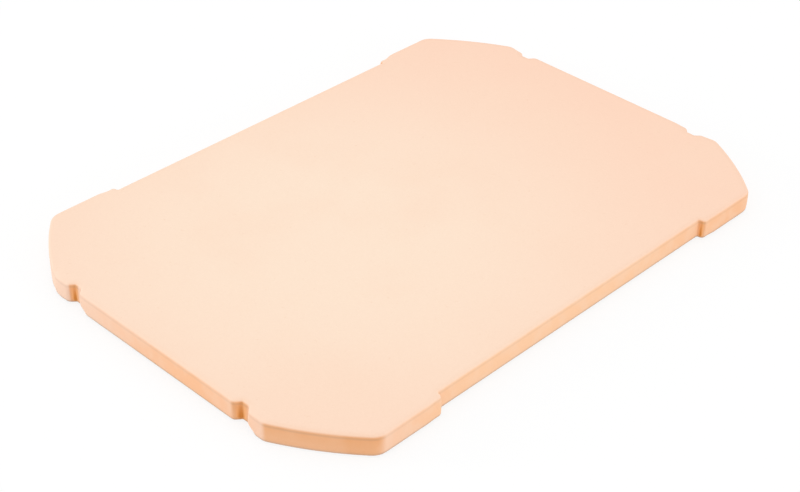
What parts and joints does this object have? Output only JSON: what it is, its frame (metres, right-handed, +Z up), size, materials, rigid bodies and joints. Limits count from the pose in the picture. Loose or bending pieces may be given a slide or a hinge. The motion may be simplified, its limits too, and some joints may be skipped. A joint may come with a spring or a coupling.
{
  "type": "pizza stone",
  "caption": "Rectangular unglazed ceramic baking stone with bowed cut corners, notched short sides and recessed long sides, for baking pizza and bread in an oven.",
  "frame": {"origin": "middle of the underside, on the surface that the stone lies on", "axes": "+X along the length, +Y along the width, +Z up through the baking surface"},
  "size_m": [0.432, 0.305, 0.015],
  "materials": {
    "cordierite": "unglazed matt cordierite ceramic, pressed and fired, cream to peach"
  },
  "bodies": {
    "root": {"stone_slab": "cordierite"}
  },
  "joints": []
}
